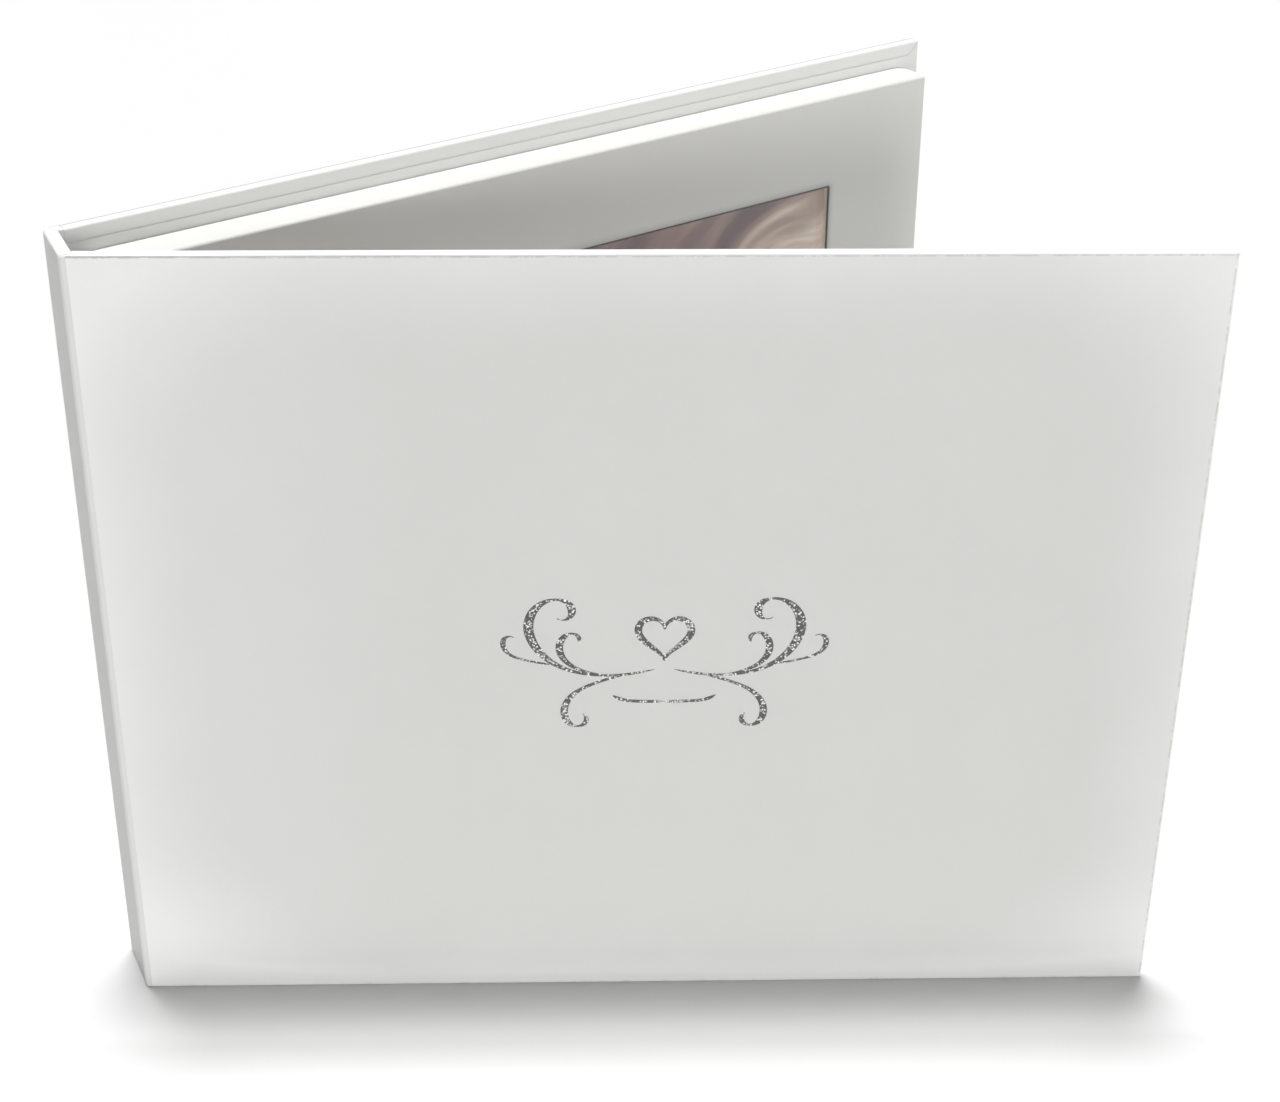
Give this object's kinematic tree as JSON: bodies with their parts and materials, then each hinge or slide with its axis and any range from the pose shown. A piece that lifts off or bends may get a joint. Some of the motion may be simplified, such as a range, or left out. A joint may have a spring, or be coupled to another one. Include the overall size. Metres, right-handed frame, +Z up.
{
  "type": "lcd video brochure",
  "caption": "Hardcover book, standing open, with a paper wrapped screen block, push buttons and a speaker inside its back cover and a folding spine.",
  "frame": {"origin": "middle of the standing book's plan, on the surface that it stands on", "axes": "+X along the back cover from its fold to its fore-edge, +Y out of the back cover's outer face, +Z up"},
  "size_m": [0.218, 0.1362, 0.168],
  "materials": {
    "white_wrap": "matt laminated art paper",
    "spine_paper": "matt laminated art paper",
    "lining_paper": "uncoated lining paper",
    "grey_board": "solid grey bookbinding board",
    "foam": "light pocketed frame board",
    "card": "solid card",
    "adhesive": "adhesive film",
    "clear_film": "clear film",
    "panel_metal": "pressed sheet",
    "display_glass": "display glass with a lit picture",
    "backlight_white": "moulded light guide",
    "amber_ribbon": "polyimide ribbon",
    "circuit_green": "solder resist",
    "chip_black": "moulded package",
    "component_tan": "ceramic chip parts",
    "socket_ivory": "moulded socket",
    "plated_steel": "plated pressed steel",
    "button_plastic": "satin moulded plastic",
    "battery_foil": "laminated foil pouch",
    "red_insulation": "insulated lead",
    "black_insulation": "insulated lead",
    "speaker_steel": "black pressed frame",
    "speaker_paper": "pressed paper cone",
    "magnet_nickel": "nickel plated magnet"
  },
  "bodies": {
    "back_cover": {"back_board": "grey_board", "back_wrap": "white_wrap", "back_lining": "lining_paper", "rear_hinge_lining": "lining_paper", "block_adhesive": "adhesive", "base_card": "card", "block_frame": "foam", "face_board": "grey_board", "block_wrap": "white_wrap", "window_film": "clear_film", "panel_bezel": "panel_metal", "panel_glass": "display_glass", "panel_backlight": "backlight_white", "panel_ribbon": "amber_ribbon", "main_circuit_board": "circuit_green", "video_processor": "chip_black", "memory_chip": "chip_black", "small_components": "component_tan", "ribbon_socket": "socket_ivory", "battery_socket": "socket_ivory", "speaker_socket": "socket_ivory", "usb_socket": "plated_steel", "usb_tongue": "chip_black", "magnet_sensor": "chip_black", "button_circuit_board": "circuit_green", "button_ribbon": "socket_ivory", "tact_switches": "plated_steel", "switch_plungers": "chip_black", "battery": "battery_foil", "battery_tape": "adhesive", "battery_red_lead": "red_insulation", "battery_black_lead": "black_insulation", "speaker_basket": "speaker_steel", "speaker_cone": "speaker_paper", "speaker_magnet": "magnet_nickel", "speaker_red_lead": "red_insulation", "speaker_black_lead": "black_insulation"},
    "spine": {"spine_board": "grey_board", "spine_wrap": "spine_paper", "spine_lining": "lining_paper"},
    "front_cover": {"front_board": "grey_board", "front_wrap": "white_wrap", "front_lining": "lining_paper", "cover_magnet": "magnet_nickel", "front_hinge_lining": "lining_paper"},
    "volume_down_button": {"volume_down_button": "button_plastic"},
    "previous_button": {"previous_button": "button_plastic"},
    "play_button": {"play_button": "button_plastic"},
    "next_button": {"next_button": "button_plastic"},
    "volume_up_button": {"volume_up_button": "button_plastic"}
  },
  "joints": [
    {"name": "rear_fold", "type": "hinge", "parent": "back_cover", "child": "spine", "pos_m": [-0.10598, 0.06808, 0], "axis": [0, 0, -1], "range_deg": [-12, 78], "deforming": ["rear_hinge_lining"]},
    {"name": "front_fold", "type": "hinge", "parent": "spine", "child": "front_cover", "pos_m": [-0.10907, 0.0535, 0], "axis": [0, 0, -1], "range_deg": [-22.5, 67.5], "deforming": ["front_hinge_lining"]},
    {"name": "volume_down_button_press", "type": "slide", "parent": "back_cover", "child": "volume_down_button", "axis": [0, 1, 0], "range_m": [0, 0.0003], "stiffness_N_per_m": 600, "springref_m": -0.001},
    {"name": "previous_button_press", "type": "slide", "parent": "back_cover", "child": "previous_button", "axis": [0, 1, 0], "range_m": [0, 0.0003], "stiffness_N_per_m": 600, "springref_m": -0.001},
    {"name": "play_button_press", "type": "slide", "parent": "back_cover", "child": "play_button", "axis": [0, 1, 0], "range_m": [0, 0.0003], "stiffness_N_per_m": 600, "springref_m": -0.001},
    {"name": "next_button_press", "type": "slide", "parent": "back_cover", "child": "next_button", "axis": [0, 1, 0], "range_m": [0, 0.0003], "stiffness_N_per_m": 600, "springref_m": -0.001},
    {"name": "volume_up_button_press", "type": "slide", "parent": "back_cover", "child": "volume_up_button", "axis": [0, 1, 0], "range_m": [0, 0.0003], "stiffness_N_per_m": 600, "springref_m": -0.001}
  ]
}
